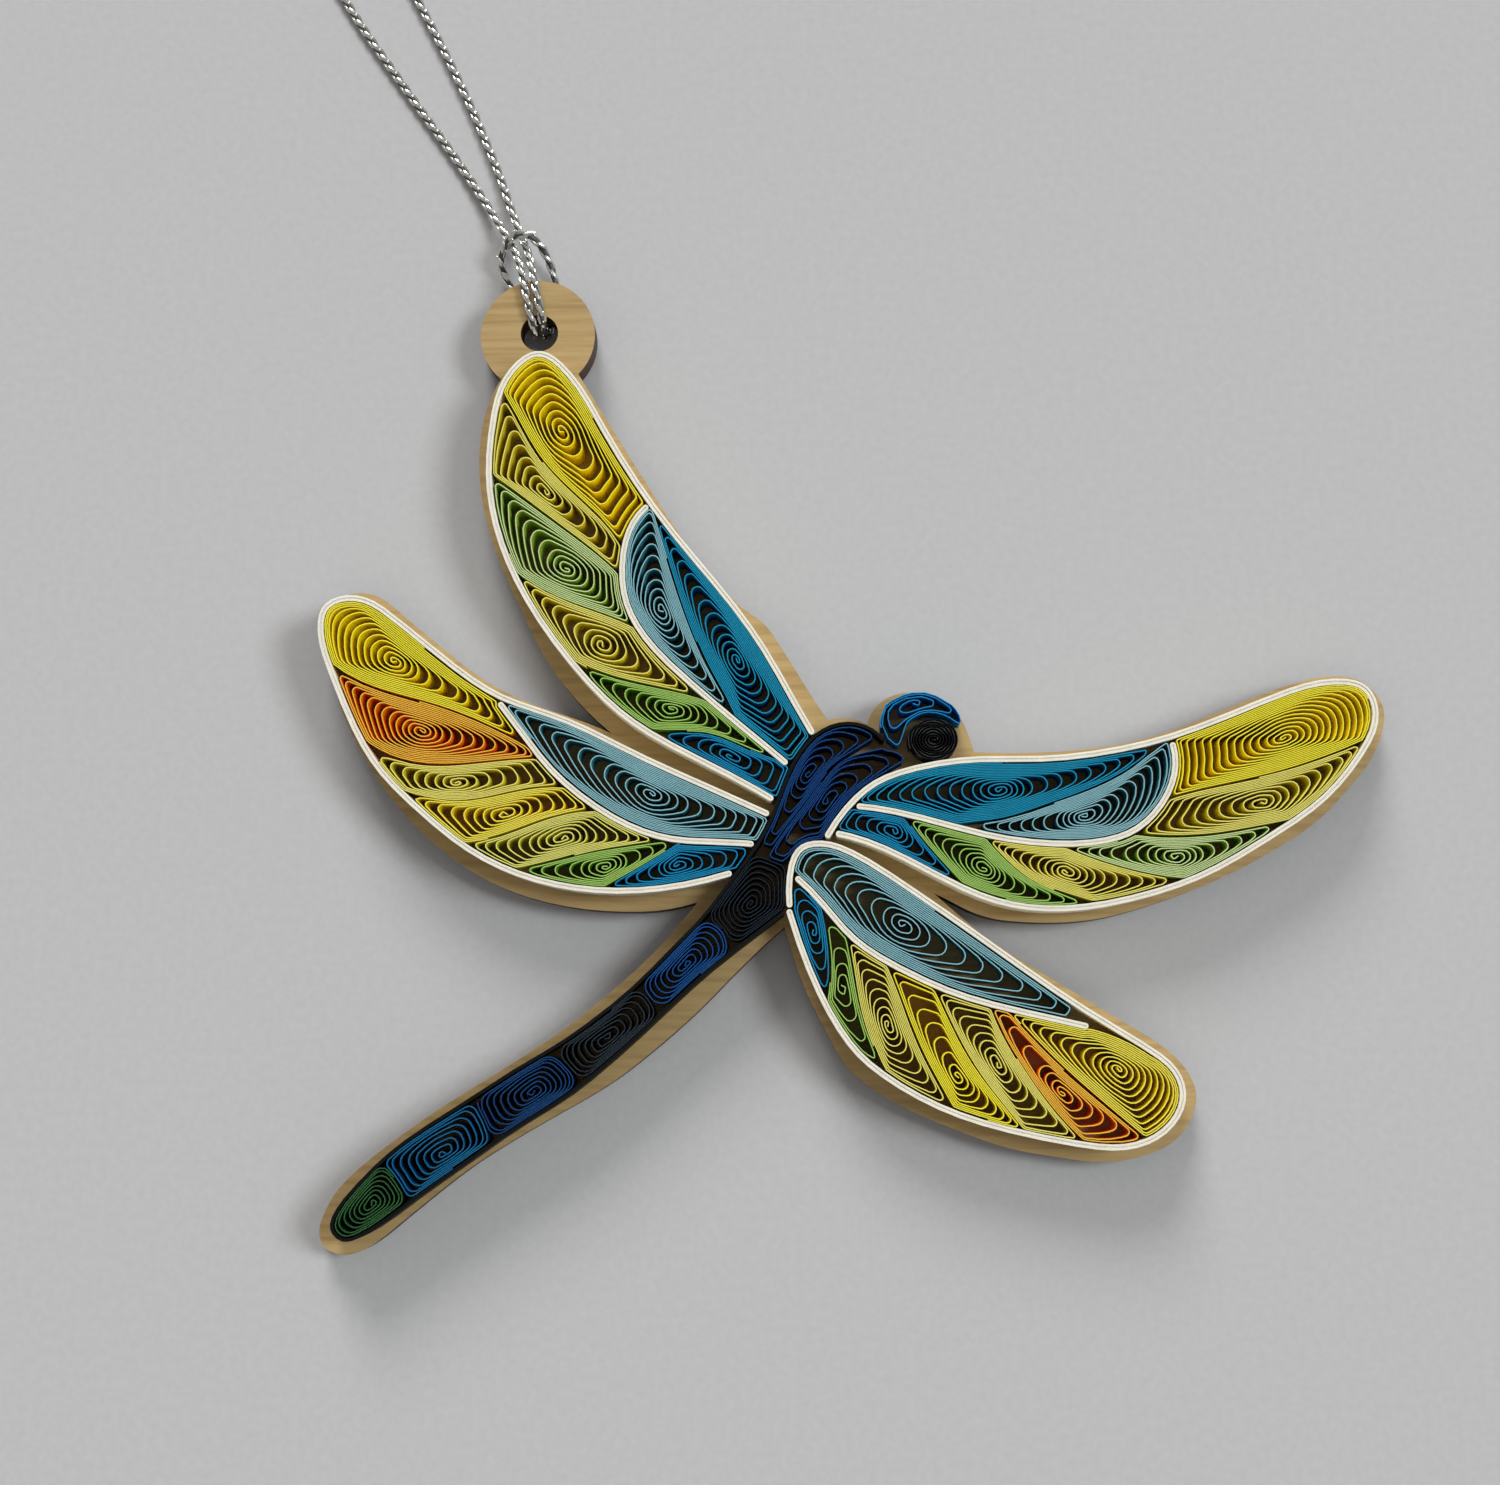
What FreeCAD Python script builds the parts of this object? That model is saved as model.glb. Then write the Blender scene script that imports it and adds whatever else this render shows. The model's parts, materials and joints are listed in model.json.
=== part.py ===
import FreeCAD, Part
import math
import os

V = FreeCAD.Vector

# Sizes in millimetres. x runs right and y runs up in the picture, z is up from the table.
BOARD_T = 2.5          # plywood
STRIP_H = 3.0          # width of the quilling paper, which stands on edge
PAPER_T = 0.1          # coil paper
PITCH = 0.165          # one turn to the next where turns lie together with room to spare
TIGHT_PITCH = 0.136    # the same in a narrow place
WHITE_WALL = 0.2       # each leg of the white strips, which are folded double
WHITE_SLOT = 0.14      # between the two legs
BLACK_T = 0.3
GAP = 0.05             # between neighbouring pieces
TIP_R = 0.17           # smallest bend of the coil paper
TAB_R = 5.5
TAB_AT = (-29.7, 40.3)
HOLE_R = 1.8
HOLE_AT = (-29.55, 40.55)
CORD_D = 0.9
CORD_Z = 0.47          # the cord's axis above the table
LIFT_AT_HOLE = 0.98    # the board's underside above the table, at the tab's hole
RESTS = ((-46.2, -45.7), (23.5, -37.2))   # the two tips that the ornament rests on
EASE = 0.12            # how gently a turn leaves its neighbour
HOOK_R = 0.16          # bend at the strip's inner end
RAYS = 1440
CHORD_OFF = 0.015      # how far the flats of a strip may lie from its true curve
ARC_OFF = 0.02         # the same for the arcs of the board's outline

WHITE_HALF = WHITE_WALL + WHITE_SLOT / 2

WINGS = {
    "left_forewing": {
        "border": [(-3.6, 1.3), (-5.3, 4.3), (-7.0, 7.4), (-8.7, 10.2), (-12.5, 15.3), (-16.4, 20.1),
                   (-19.5, 24.4), (-23.2, 30.5), (-26.6, 35.8), (-29.2, 37.5), (-31.9, 35.6),
                   (-33.4, 31.0), (-33.7, 25.5), (-32.5, 19.5), (-29.8, 13.7),
                   (-25.6, 7.8), (-20.6, 2.8), (-14.0, -1.1), (-7.4, -4.7)],
        "divider": [(-18.7, 22.8), (-20.3, 20.8), (-21.1, 17.5), (-20.7, 13.5), (-18.9, 10.2), (-15.0, 6.2),
                    (-10.4, 2.2), (-6.1, -1.4)],
        "ribs": {
            "a": [(-33.4, 35.0), (-31.8, 32.5), (-28.9, 27.4), (-24.6, 22.9), (-22.9, 21.2), (-20.6, 17.4)],
            "b": [(-34.2, 26.3), (-31.6, 24.4), (-27.2, 21.1), (-22.9, 17.7), (-20.4, 15.2)],
            "c": [(-32.2, 17.6), (-29.0, 15.1), (-26.4, 13.8), (-21.6, 12.0), (-18.6, 10.5)],
            "d": [(-27.0, 9.2), (-23.5, 7.1), (-17.5, 5.5), (-11.5, 3.5)],
            "e": [(-20.0, 1.9), (-16.0, 1.45), (-13.2, 1.3), (-8.8, -0.4), (-5.2, -1.5)],
            "f": [(-18.6, 23.2), (-17.3, 19.0), (-15.3, 12.6), (-12.8, 6.8), (-10.9, 3.2), (-10.4, 1.6)],
            "g": [(-3.0, 2.4), (-3.9, 0.6), (-4.7, -0.6), (-6.6, -2.2)],
            "h": [(-5.2, -0.8), (-5.7, -2.4), (-6.2, -3.8), (-7.0, -5.4)]},
        "coils": [("yellow", (-26.9, 29.9), 11, "a"), ("khaki", (-28.5, 24.0), 9, "ab"),
                  ("light_green", (-26.3, 16.8), 11, "bc"), ("lime", (-22.9, 9.6), 9, "cd"),
                  ("green", (-16.4, 3.6), 9, "de"), ("bright_blue", (-11.0, -0.6), 8, "eh"),
                  ("steel_blue", (-17.4, 12.7), 11, "f"), ("sky_blue", (-10.5, 8.1), 13, "fg")]},
    "left_hindwing": {
        "border": [(-7.8, -6.1), (-13.5, -3.5), (-20.0, -0.5), (-26.4, 2.6), (-32.3, 4.8), (-37.5, 8.3),
                   (-42.6, 12.4), (-46.0, 14.1), (-48.7, 13.2), (-49.1, 11.0), (-48.0, 7.2), (-46.3, 3.2),
                   (-43.6, -1.5), (-39.5, -5.7), (-34.6, -9.5), (-29.0, -12.0), (-22.5, -13.1),
                   (-16.5, -12.8), (-11.2, -11.6)],
        "divider": [(-32.2, 4.0), (-30.3, 1.5), (-27.5, -2.0), (-24.0, -5.0), (-20.5, -7.1), (-16.5, -8.4),
                    (-12.5, -8.7), (-9.1, -8.9)],
        "ribs": {
            "a": [(-49.6, 9.6), (-46.6, 6.9), (-44.3, 5.8), (-38.4, 4.0), (-32.6, 1.7), (-28.8, -0.4)],
            "b": [(-45.6, 1.4), (-43.6, -0.1), (-41.5, -1.0), (-35.0, -1.4), (-26.8, -1.0)],
            "c": [(-42.4, -3.4), (-39.8, -4.3), (-35.5, -4.85), (-29.8, -3.8), (-27.2, -3.55), (-23.6, -4.2)],
            "d": [(-36.6, -8.6), (-32.8, -8.3), (-28.0, -6.6), (-25.6, -6.0), (-21.6, -6.0)],
            "e": [(-32.5, -11.4), (-28.4, -10.7), (-23.4, -9.5), (-18.4, -8.7), (-15.0, -8.2)],
            "f": [(-24.0, -13.6), (-20.4, -11.6), (-17.4, -9.8), (-15.2, -8.4)],
            "g": [(-9.5, -8.0), (-9.5, -10.2), (-10.6, -12.5)],
            "h": [(-7.9, -5.3), (-7.6, -7.2), (-8.6, -9.6)]},
        "coils": [("yellow", (-42.1, 8.1), 13, "a"), ("orange", (-39.5, 1.6), 13, "ab"),
                  ("lime", (-36.2, -3.3), 10, "bc"), ("pale_yellow", (-31.5, -6.15), 10, "cd"),
                  ("light_green", (-26.2, -8.85), 10, "de"), ("green", (-22.3, -10.6), 10, "ef"),
                  ("bright_blue", (-15.8, -10.9), 8, "fg"), ("steel_blue", (-18.3, -4.3), 13, "h")]},
    "right_forewing": {
        "border": [(-2.2, -8.1), (-0.6, -5.8), (2.1, -3.4), (5.9, -2.0), (10.9, -1.25), (17.0, -1.2),
                   (23.0, -0.6), (28.0, 0.5), (33.5, 2.4), (39.0, 4.6), (44.0, 5.8), (46.8, 5.1), (47.6, 2.9),
                   (46.2, -0.7), (42.6, -4.9), (37.6, -8.4), (31.5, -11.8), (25.5, -13.8), (19.0, -14.8),
                   (13.0, -14.1), (7.0, -11.4), (2.0, -8.95), (-1.2, -8.0)],
        "divider": [(29.2, 0.0), (29.3, -2.4), (28.0, -5.4), (25.4, -7.8), (22.0, -8.8), (17.5, -8.9),
                    (13.0, -8.3), (8.3, -7.1), (4.0, -6.0), (0.7, -5.5)],
        "ribs": {
            "a": [(47.8, 0.9), (44.0, -0.75), (38.6, -2.5), (33.0, -3.75), (28.6, -4.9), (27.0, -5.6)],
            "b": [(41.2, -6.6), (38.9, -7.0), (33.6, -8.0), (27.0, -8.2), (24.4, -7.8)],
            "c": [(17.4, -8.4), (20.6, -9.8), (24.8, -11.2), (29.4, -12.1), (33.0, -12.2)],
            "d": [(11.6, -7.6), (13.6, -10.1), (16.6, -12.5), (20.8, -14.0), (23.6, -15.0)],
            "e": [(4.4, -5.7), (6.3, -8.5), (8.7, -11.3), (10.8, -13.6)],
            "f": [(8.2, -7.8), (9.8, -7.15), (12.5, -6.85), (17.8, -5.4), (22.8, -3.5), (26.8, -1.0),
                  (29.0, 1.6)],
            "g": [(-0.6, -4.9), (0.9, -5.5)]},
        "coils": [("yellow", (39.3, 0.6), 15, "a"), ("lime", (37.1, -5.3), 11, "ab"),
                  ("light_green", (29.2, -10.1), 12, "bc"), ("khaki", (19.2, -11.8), 11, "cd"),
                  ("green", (11.9, -11.1), 11, "de"), ("bright_blue", (3.5, -8.1), 9, "eg"),
                  ("sky_blue", (13.5, -4.05), 14, "f"), ("steel_blue", (20.9, -6.6), 12, "f")]},
    "right_hindwing": {
        "border": [(-5.7, -14.4), (-5.6, -11.4), (-4.6, -9.3), (-2.6, -8.9), (-0.1, -9.7), (4.3, -12.4),
                   (9.5, -16.0), (15.5, -20.3), (21.4, -24.3), (26.4, -27.4), (28.7, -29.5), (29.2, -31.4),
                   (27.6, -34.4), (24.7, -35.8), (19.5, -35.6), (13.6, -34.4), (8.5, -32.8), (5.0, -31.1),
                   (2.5, -29.5), (0.6, -27.9), (-1.2, -25.6), (-3.2, -21.9), (-4.8, -17.9), (-5.7, -15.1)],
        "divider": [(-4.9, -12.1), (-3.0, -14.0), (-0.1, -17.3), (4.3, -20.2), (9.2, -22.4), (14.1, -23.8),
                    (20.7, -25.3)],
        "ribs": {
            "a": [(-3.3, -13.0), (-2.4, -16.6), (-2.1, -21.0), (-2.6, -24.0)],
            "b": [(-1.1, -15.2), (-0.1, -19.3), (0.8, -24.4), (2.5, -28.8), (3.5, -30.8)],
            "c": [(1.8, -17.3), (3.7, -21.3), (5.7, -26.6), (8.1, -31.4), (9.0, -33.0)],
            "d": [(6.6, -20.2), (8.2, -23.9), (10.8, -28.9), (14.2, -33.4), (15.6, -35.2)],
            "e": [(12.0, -22.0), (12.6, -24.2), (15.2, -29.1), (18.4, -33.5), (21.4, -36.4)],
            "f": [(12.4, -22.2), (14.4, -24.6), (18.8, -29.2), (23.4, -33.2), (27.2, -36.4)],
            "g": [(19.5, -25.2), (21.5, -25.6), (23.8, -26.4), (26.6, -28.0)],
            "h": [(19.0, -25.4), (20.2, -23.0)]},
        "coils": [("steel_blue", (4.6, -16.3), 12, "h"), ("bright_blue", (-3.6, -16.9), 9, "a"),
                  ("green", (-0.9, -21.6), 9, "ab"), ("light_green", (3.1, -25.2), 10, "bc"),
                  ("yellow", (9.3, -29.7), 11, "cd"), ("lime", (12.9, -28.6), 10, "de"),
                  ("orange", (18.5, -31.0), 12, "ef"), ("pale_yellow", (23.5, -29.1), 12, "fg")]}}

BODY_STRIP = [(2.9, 0.6), (1.6, 1.7), (-0.5, 2.15), (-2.8, 1.4), (-4.8, -0.7), (-6.2, -3.6), (-6.9, -5.6),
              (-8.3, -8.5), (-10.8, -12.0), (-13.4, -15.4), (-16.3, -18.4), (-19.5, -21.6), (-22.6, -24.2),
              (-26.4, -26.9), (-30.3, -29.2), (-34.5, -31.9), (-39.2, -34.9), (-41.7, -36.8), (-44.7, -39.8),
              (-46.2, -41.8), (-46.5, -43.2), (-45.6, -44.1), (-44.0, -43.8), (-41.4, -42.2), (-38.7, -40.2),
              (-35.1, -37.7), (-30.2, -34.3), (-26.0, -31.7), (-22.3, -28.8), (-18.4, -25.3), (-13.4, -20.7),
              (-9.2, -17.4), (-6.3, -15.2)]
BODY_RIBS = {
    "spine": [(3.8, 0.5), (2.7, 0.0), (0.6, -0.5), (-1.2, -1.4), (-2.6, -2.9), (-4.2, -5.1), (-6.9, -8.7),
              (-7.8, -10.4)],
    "left_end": [(2.6, 1.2), (3.2, 0.0)],
    "left_foot": [(-8.8, -8.9), (-6.9, -9.3)],
    "head": [(3.2, -0.2), (4.6, -0.55), (5.4, -1.4), (5.6, -2.4)],
    "t0": [(-9.6, -9.6), (-8.0, -10.05), (-6.5, -10.6), (-4.9, -10.7)],
    "t1": [(-14.2, -15.4), (-13.0, -15.9), (-11.8, -16.7), (-11.3, -17.9), (-10.9, -19.4)],
    "t2": [(-20.2, -21.0), (-18.3, -23.0), (-17.6, -24.2), (-16.9, -25.8)],
    "t3": [(-28.2, -27.0), (-25.4, -29.2), (-24.5, -30.4), (-23.6, -32.2)],
    "t4": [(-35.6, -31.2), (-33.0, -33.8), (-32.4, -35.4), (-31.6, -37.2)],
    "t5": [(-43.6, -36.8), (-40.8, -38.9), (-40.0, -40.2), (-38.9, -42.4)]}
# Name, eye, turns, ribs beside it and the smallest bend at its corners.
BODY_COILS = [("thorax_left_coil", (-3.8, -2.6), 8, ("spine", "left_end", "left_foot"), TIP_R),
              ("thorax_right_coil", (-2.2, -4.9), 8, ("spine", "t0", "head"), TIP_R),
              ("abdomen_black_coil", (-9.2, -14.4), 9, ("t0", "t1"), 0.8),
              ("abdomen_royal_blue_coil", (-15.3, -19.6), 9, ("t1", "t2"), 0.9),
              ("abdomen_slate_coil", (-22.1, -26.5), 8, ("t2", "t3"), 0.9),
              ("abdomen_dark_blue_coil", (-28.6, -31.2), 9, ("t3", "t4"), 0.9),
              ("abdomen_blue_coil", (-36.6, -36.5), 8, ("t4", "t5"), 0.5),
              ("abdomen_green_coil", (-43.0, -41.0), 8, ("t5",), 0.6)]

EYE_AT = (7.5, 0.6)
EYE_RX = 2.35
EYE_RY = 2.0
BROW_AT = (7.2, 0.9)
# The head's crescent round BROW_AT: angle in degrees, radius of its middle, half its width.
BROW = [(205, 2.98, 0.0), (184, 3.2, 0.85), (165, 3.52, 1.26), (146, 3.68, 1.38), (126, 3.4, 1.25),
        (102, 3.2, 1.08), (78, 2.98, 0.85), (51, 2.92, 0.65), (27, 2.95, 0.36), (8, 2.9, 0.0)]
BROW_EYE = 115
BROW_TURNS = 4
BROW_PAPER_T = 0.085   # thinner, since the bend brings its turns closer

# The board's outline, one list between each two sharp corners.
BOARD_EDGES = [
    [(-25.7, 36.4), (-22.7, 31.4), (-18.2, 24.1), (-13.4, 17.2), (-11.5, 15.0), (-10.0, 13.5), (-8.4, 12.4),
     (-6.9, 10.5), (-4.0, 5.8), (-2.1, 2.9)],
    [(-2.1, 2.9), (-0.5, 3.1), (1.5, 2.5)],
    [(1.5, 2.5), (2.2, 3.9), (3.5, 5.0), (6.3, 5.4), (9.1, 4.3), (10.5, 2.4), (11.0, 1.1), (11.4, -0.15)],
    [(11.4, -0.15), (18.9, -0.15), (26.6, 0.9), (34.3, 3.6), (42.0, 6.4), (44.7, 6.8), (47.0, 6.4),
     (48.5, 5.1), (49.2, 3.4), (48.9, 1.5), (47.8, -1.0), (45.8, -3.5), (43.2, -6.2), (39.7, -8.7),
     (35.5, -11.0), (30.5, -13.2), (26.6, -14.5), (22.8, -15.5), (18.9, -15.9), (15.1, -15.8),
     (12.0, -15.3), (9.7, -14.3), (7.5, -13.2)],
    [(7.5, -13.2), (9.3, -14.8), (11.7, -16.8), (14.4, -18.7), (18.0, -20.9), (22.4, -23.6), (26.0, -25.8),
     (28.5, -27.5), (30.2, -29.4), (30.9, -31.6), (30.4, -33.5), (28.7, -35.6), (26.4, -36.7), (23.9, -37.3),
     (20.8, -37.3), (17.9, -36.9), (14.1, -36.2), (9.6, -34.7), (4.9, -32.7), (1.5, -30.7), (-0.6, -28.9),
     (-2.3, -26.0), (-4.1, -22.5), (-5.3, -19.2), (-6.2, -16.3)],
    [(-6.2, -16.3), (-10.3, -20.1), (-14.6, -24.4), (-18.3, -27.6), (-22.1, -30.5), (-25.7, -32.6),
     (-31.1, -35.7), (-34.7, -38.0), (-38.7, -41.1), (-41.3, -43.2), (-43.7, -45.0), (-46.2, -45.7),
     (-47.7, -45.1), (-48.3, -43.9), (-48.0, -42.3), (-46.6, -39.8), (-43.7, -37.1), (-37.9, -32.9),
     (-30.3, -28.2), (-24.3, -24.0), (-19.3, -19.7), (-14.2, -14.0)],
    [(-14.2, -14.0), (-17.5, -14.7), (-22.0, -14.8), (-27.5, -14.1), (-32.2, -12.6), (-36.6, -10.1),
     (-40.5, -6.8), (-43.4, -3.4), (-45.6, 0.0), (-47.4, 3.6), (-48.9, 8.0), (-49.6, 12.0), (-48.6, 14.2),
     (-46.7, 15.2), (-44.5, 14.9), (-42.3, 13.3), (-37.1, 9.0), (-34.5, 7.0), (-29.3, 4.4), (-24.0, 2.5),
     (-22.2, 1.7)],
    [(-22.2, 1.7), (-24.9, 4.2), (-27.1, 6.8), (-29.3, 10.3), (-31.0, 13.8), (-33.8, 20.3), (-34.7, 23.8),
     (-35.1, 27.3), (-34.5, 32.9), (-33.1, 36.1)]]

# The cord's route above the table: from the knot down one strand, through the hitch and back up.
CORD_ROUTE = [(-51.6, 95.6, CORD_Z), (-55.3, 86.5, CORD_Z), (-50.2, 76.6, CORD_Z), (-43.6, 66.9, CORD_Z),
              (-37.6, 58.4, CORD_Z), (-34.4, 53.2, 0.95), (-31.9, 48.7, 2.95), (-31.1, 45.6, 4.3),
              (-30.05, 40.95, 4.08), (-30.05, 40.9, CORD_Z), (-31.6, 44.0, CORD_Z), (-33.0, 46.6, 0.6),
              (-33.9, 48.6, 1.6), (-32.6, 50.4, 3.4), (-30.5, 50.6, 3.4), (-29.1, 49.0, 1.6),
              (-28.3, 46.4, 0.6), (-28.6, 43.8, CORD_Z), (-29.07, 40.9, CORD_Z), (-29.07, 40.95, 4.08),
              (-30.05, 45.6, 4.3), (-30.75, 48.7, 2.95), (-32.6, 53.2, 0.95), (-34.2, 58.2, CORD_Z),
              (-37.9, 67.0, CORD_Z), (-42.6, 76.4, CORD_Z), (-47.9, 86.3, CORD_Z), (-50.6, 95.6, CORD_Z)]
KNOT_R = 1.1
KNOT_L = 2.8
TAIL_L = 5.0


def through(points):
    curve = Part.BSplineCurve()
    curve.interpolate([V(x, y, 0) for x, y in points])
    return curve


def dense(points, step):
    curve = through(points)
    count = max(4, int(curve.length() / step) + 1)
    return [(p.x, p.y) for p in curve.discretize(Number=count)]


def nearest(point, line):
    return min(line, key=lambda q: (q[0] - point[0]) ** 2 + (q[1] - point[1]) ** 2)


def away(point, line, gap):
    near = nearest(point, line)
    dx = point[0] - near[0]
    dy = point[1] - near[1]
    dist = math.hypot(dx, dy)
    if dist >= gap:
        return point
    scale = gap / max(dist, 1e-6)
    return (near[0] + dx * scale, near[1] + dy * scale)


def cleared(line, others, gap):
    """The line with its ends cut back and its middle pushed aside, clear of the other lines."""
    def clear_of_all(point):
        return all(math.dist(point, nearest(point, other)) >= gap for other in others)
    start = 0
    end = len(line)
    while start < end and not clear_of_all(line[start]):
        start += 1
    while end > start and not clear_of_all(line[end - 1]):
        end -= 1
    line = line[start:end]
    for other in others:
        line = [away(point, other, gap) for point in line]
    return line


def thinned(points):
    """Fewer points on the same line, so that each flat stays within CHORD_OFF of the curve."""
    kept = [points[0]]
    heading = None
    for before, here in zip(points, points[1:]):
        if math.dist(before, here) < 1e-9:
            continue
        angle = math.atan2(here[1] - before[1], here[0] - before[0])
        if heading is None:
            heading = angle
        turned = abs((angle - heading + math.pi) % (2 * math.pi) - math.pi)
        run = math.dist(kept[-1], here)
        if run * turned / 8 >= CHORD_OFF or run >= 3.0:
            kept.append(here)
            heading = angle
    if math.dist(kept[-1], points[-1]) < 0.03:
        kept.pop()
    kept.append(points[-1])
    return kept


def side(points, shift):
    """The points moved sideways, so that every flat is exactly that far from its own place."""
    moved = []
    for i, (x, y) in enumerate(points):
        across = V(0, 0, 0)
        for a, b in ((i - 1, i), (i, i + 1)):
            if 0 <= a and b < len(points):
                step = V(points[b][0] - points[a][0], points[b][1] - points[a][1], 0)
                across += step.normalize()
        across = across * (1 if i in (0, len(points) - 1) else 2 / across.dot(across))
        moved.append(V(x - across.y * shift, y + across.x * shift, 0))
    return moved


def ribbon_wire(points, half, round_ends):
    """The outline of a strip on edge that follows the points."""
    left = side(points, half)
    right = side(points, -half)
    edges = Part.makePolygon(left).Edges
    for a, b, tip, back in ((left[-1], right[-1], points[-1], points[-2]),
                            (right[0], left[0], points[0], points[1])):
        if round_ends:
            reach = half / math.dist(tip, back)
            out = V(tip[0] + (tip[0] - back[0]) * reach, tip[1] + (tip[1] - back[1]) * reach, 0)
            edges.append(Part.Arc(a, out, b).toShape())
        else:
            edges.append(Part.LineSegment(a, b).toShape())
        if len(edges) == len(left):
            edges += Part.makePolygon(right[::-1]).Edges
    return Part.Wire(edges)


def raised(face, height, bottom):
    solid = face.extrude(V(0, 0, height))
    solid.translate(V(0, 0, bottom))
    return solid


def strip(points, thickness):
    return raised(Part.Face(ribbon_wire(points, thickness / 2, False)), STRIP_H, BOARD_T)


def folded_strip(points):
    """A strip folded double: two legs with a slot between them, joined at both ends."""
    outer = raised(Part.Face(ribbon_wire(points, WHITE_HALF, True)), STRIP_H, BOARD_T)
    slot = raised(Part.Face(ribbon_wire(points, WHITE_SLOT / 2, True)), STRIP_H, BOARD_T)
    return outer.cut(slot)


def pulled_in(reach, points, ball):
    """Rays from the eye cut so that a ball at their ends touches none of the points."""
    step = 2 * math.pi / RAYS
    out = list(reach)
    for x, y in points:
        dist = math.hypot(x, y)
        if dist <= ball * 1.01:
            raise RuntimeError("a wall runs over a coil's eye")
        if dist - ball > 40:
            continue
        middle = math.atan2(y, x)
        half = math.asin(ball / dist)
        for k in range(math.ceil((middle - half) / step), math.floor((middle + half) / step) + 1):
            turn = k * step - middle
            across = dist * math.sin(turn)
            r = dist * math.cos(turn) - math.sqrt(max(0.0, ball * ball - across * across))
            if r < out[k % RAYS]:
                out[k % RAYS] = r
    return out


def pushed_out(points, ball):
    step = 2 * math.pi / RAYS
    out = [0.0] * RAYS
    for x, y in points:
        dist = math.hypot(x, y)
        middle = math.atan2(y, x)
        half = math.asin(min(1.0, ball / dist)) if dist > ball else math.pi / 2
        for k in range(math.ceil((middle - half) / step), math.floor((middle + half) / step) + 1):
            turn = k * step - middle
            across = dist * math.sin(turn)
            r = dist * math.cos(turn) + math.sqrt(max(0.0, ball * ball - across * across))
            if r > out[k % RAYS]:
                out[k % RAYS] = r
    return out


def outline(reach, spacing):
    """Points along the closed line through the rays' ends."""
    step = 2 * math.pi / RAYS
    ends = [(r * math.cos(k * step), r * math.sin(k * step)) for k, r in enumerate(reach)]
    found = []
    for k in range(RAYS):
        a = ends[k]
        b = ends[(k + 1) % RAYS]
        last = found[-1] if found else (1e9, 1e9)
        gap = math.dist(a, b)
        if gap > spacing:
            parts = int(gap / spacing) + 1
            found += [(a[0] + (b[0] - a[0]) * i / parts, a[1] + (b[1] - a[1]) * i / parts)
                      for i in range(parts)]
        elif math.dist(last, a) > spacing * 0.6:
            found.append(a)
    return found


def rounded(reach, radius):
    """The same closed line with no bend tighter than the radius."""
    radius = min(radius, min(reach) * 0.8)
    inner = pulled_in(reach, outline(reach, radius * 0.5), radius)
    return pushed_out(outline(inner, radius * 0.35), radius)


def reach_to_walls(eye, walls):
    """How far the strip's middle line may be from the eye in each direction."""
    reach = [60.0] * RAYS
    for line, inset in walls:
        local = [(x - eye[0], y - eye[1]) for x, y in line]
        reach = pulled_in(reach, local, inset + PAPER_T / 2)
    if max(reach) > 30:
        raise RuntimeError("a coil at %s leaks past its walls" % (eye,))
    return reach


def with_room(eye, walls, turns):
    """The eye moved off the nearest wall until its turns fit, and the reach from there."""
    needed = 0.33 + turns * TIGHT_PITCH * 1.04
    best = None
    for attempt in range(14):
        reach = reach_to_walls(eye, walls)
        short = min(reach)
        if best is None or short > min(best[1]):
            best = (eye, reach)
        if short >= needed:
            break
        angle = 2 * math.pi * reach.index(short) / RAYS
        push = min(0.12, needed - short + 0.02) * (1 - attempt / 20)
        eye = (eye[0] - push * math.cos(angle), eye[1] - push * math.sin(angle))
    return best


def softer(a, b):
    """The lesser of two lengths, eased where they are nearly the same."""
    low = min(a, b)
    return low - EASE * math.log(1 + math.exp(-abs(a - b) / EASE))


def coil_turns(eye, walls, turns, spread, blunt, tip):
    """Closed lines for each turn, from the eye outwards, packed against the walls."""
    eye, reach = with_room(eye, walls, turns)
    outer = rounded(reach, tip)
    space = (min(outer) - 0.3) / 1.04
    turns = min(turns, int(space / TIGHT_PITCH))
    pitch = min(PITCH, space / turns)
    longest = max(outer)
    lines = {turns: outer}
    for n in range(turns - 1, 0, -1):
        share = n / (turns - 0.75)
        free = [share * (r + spread * (longest - r)) for r in outer]
        held = pulled_in(lines[n + 1], outline(lines[n + 1], pitch * 0.5), pitch)
        both = [softer(a, b) for a, b in zip(free, held)]
        lines[n] = rounded(both, tip + blunt * (1 - n / turns))
    lines[0] = [0.14] * RAYS
    return eye, lines, turns


def coil_line(eye, walls, turns, start=0.0, hand=1, spread=0.17, blunt=1.1, tip=TIP_R):
    """The strip's middle line from the hook at the eye to its glued outer end."""
    eye, lines, turns = coil_turns(eye, walls, turns, spread, blunt, tip)
    step = 2 * math.pi / RAYS
    spiral = []
    for i in range(turns * RAYS + 1):
        n = min(i // RAYS, turns - 1)
        part = i / RAYS - n
        k = (int(start / 360 * RAYS) + hand * i) % RAYS
        r = lines[n][k] * (1 - part) + lines[n + 1][k] * part
        spiral.append((r * math.cos(k * step), r * math.sin(k * step)))
    first = next(i for i, p in enumerate(spiral) if math.hypot(*p) >= 2.1 * HOOK_R)
    points = hook(spiral[first], hand)
    joined = first + int(HOOK_R * 1.9 / math.hypot(*spiral[first]) / step)
    points += thinned(spiral[joined:])
    return [(x + eye[0], y + eye[1]) for x, y in points], turns


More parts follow.
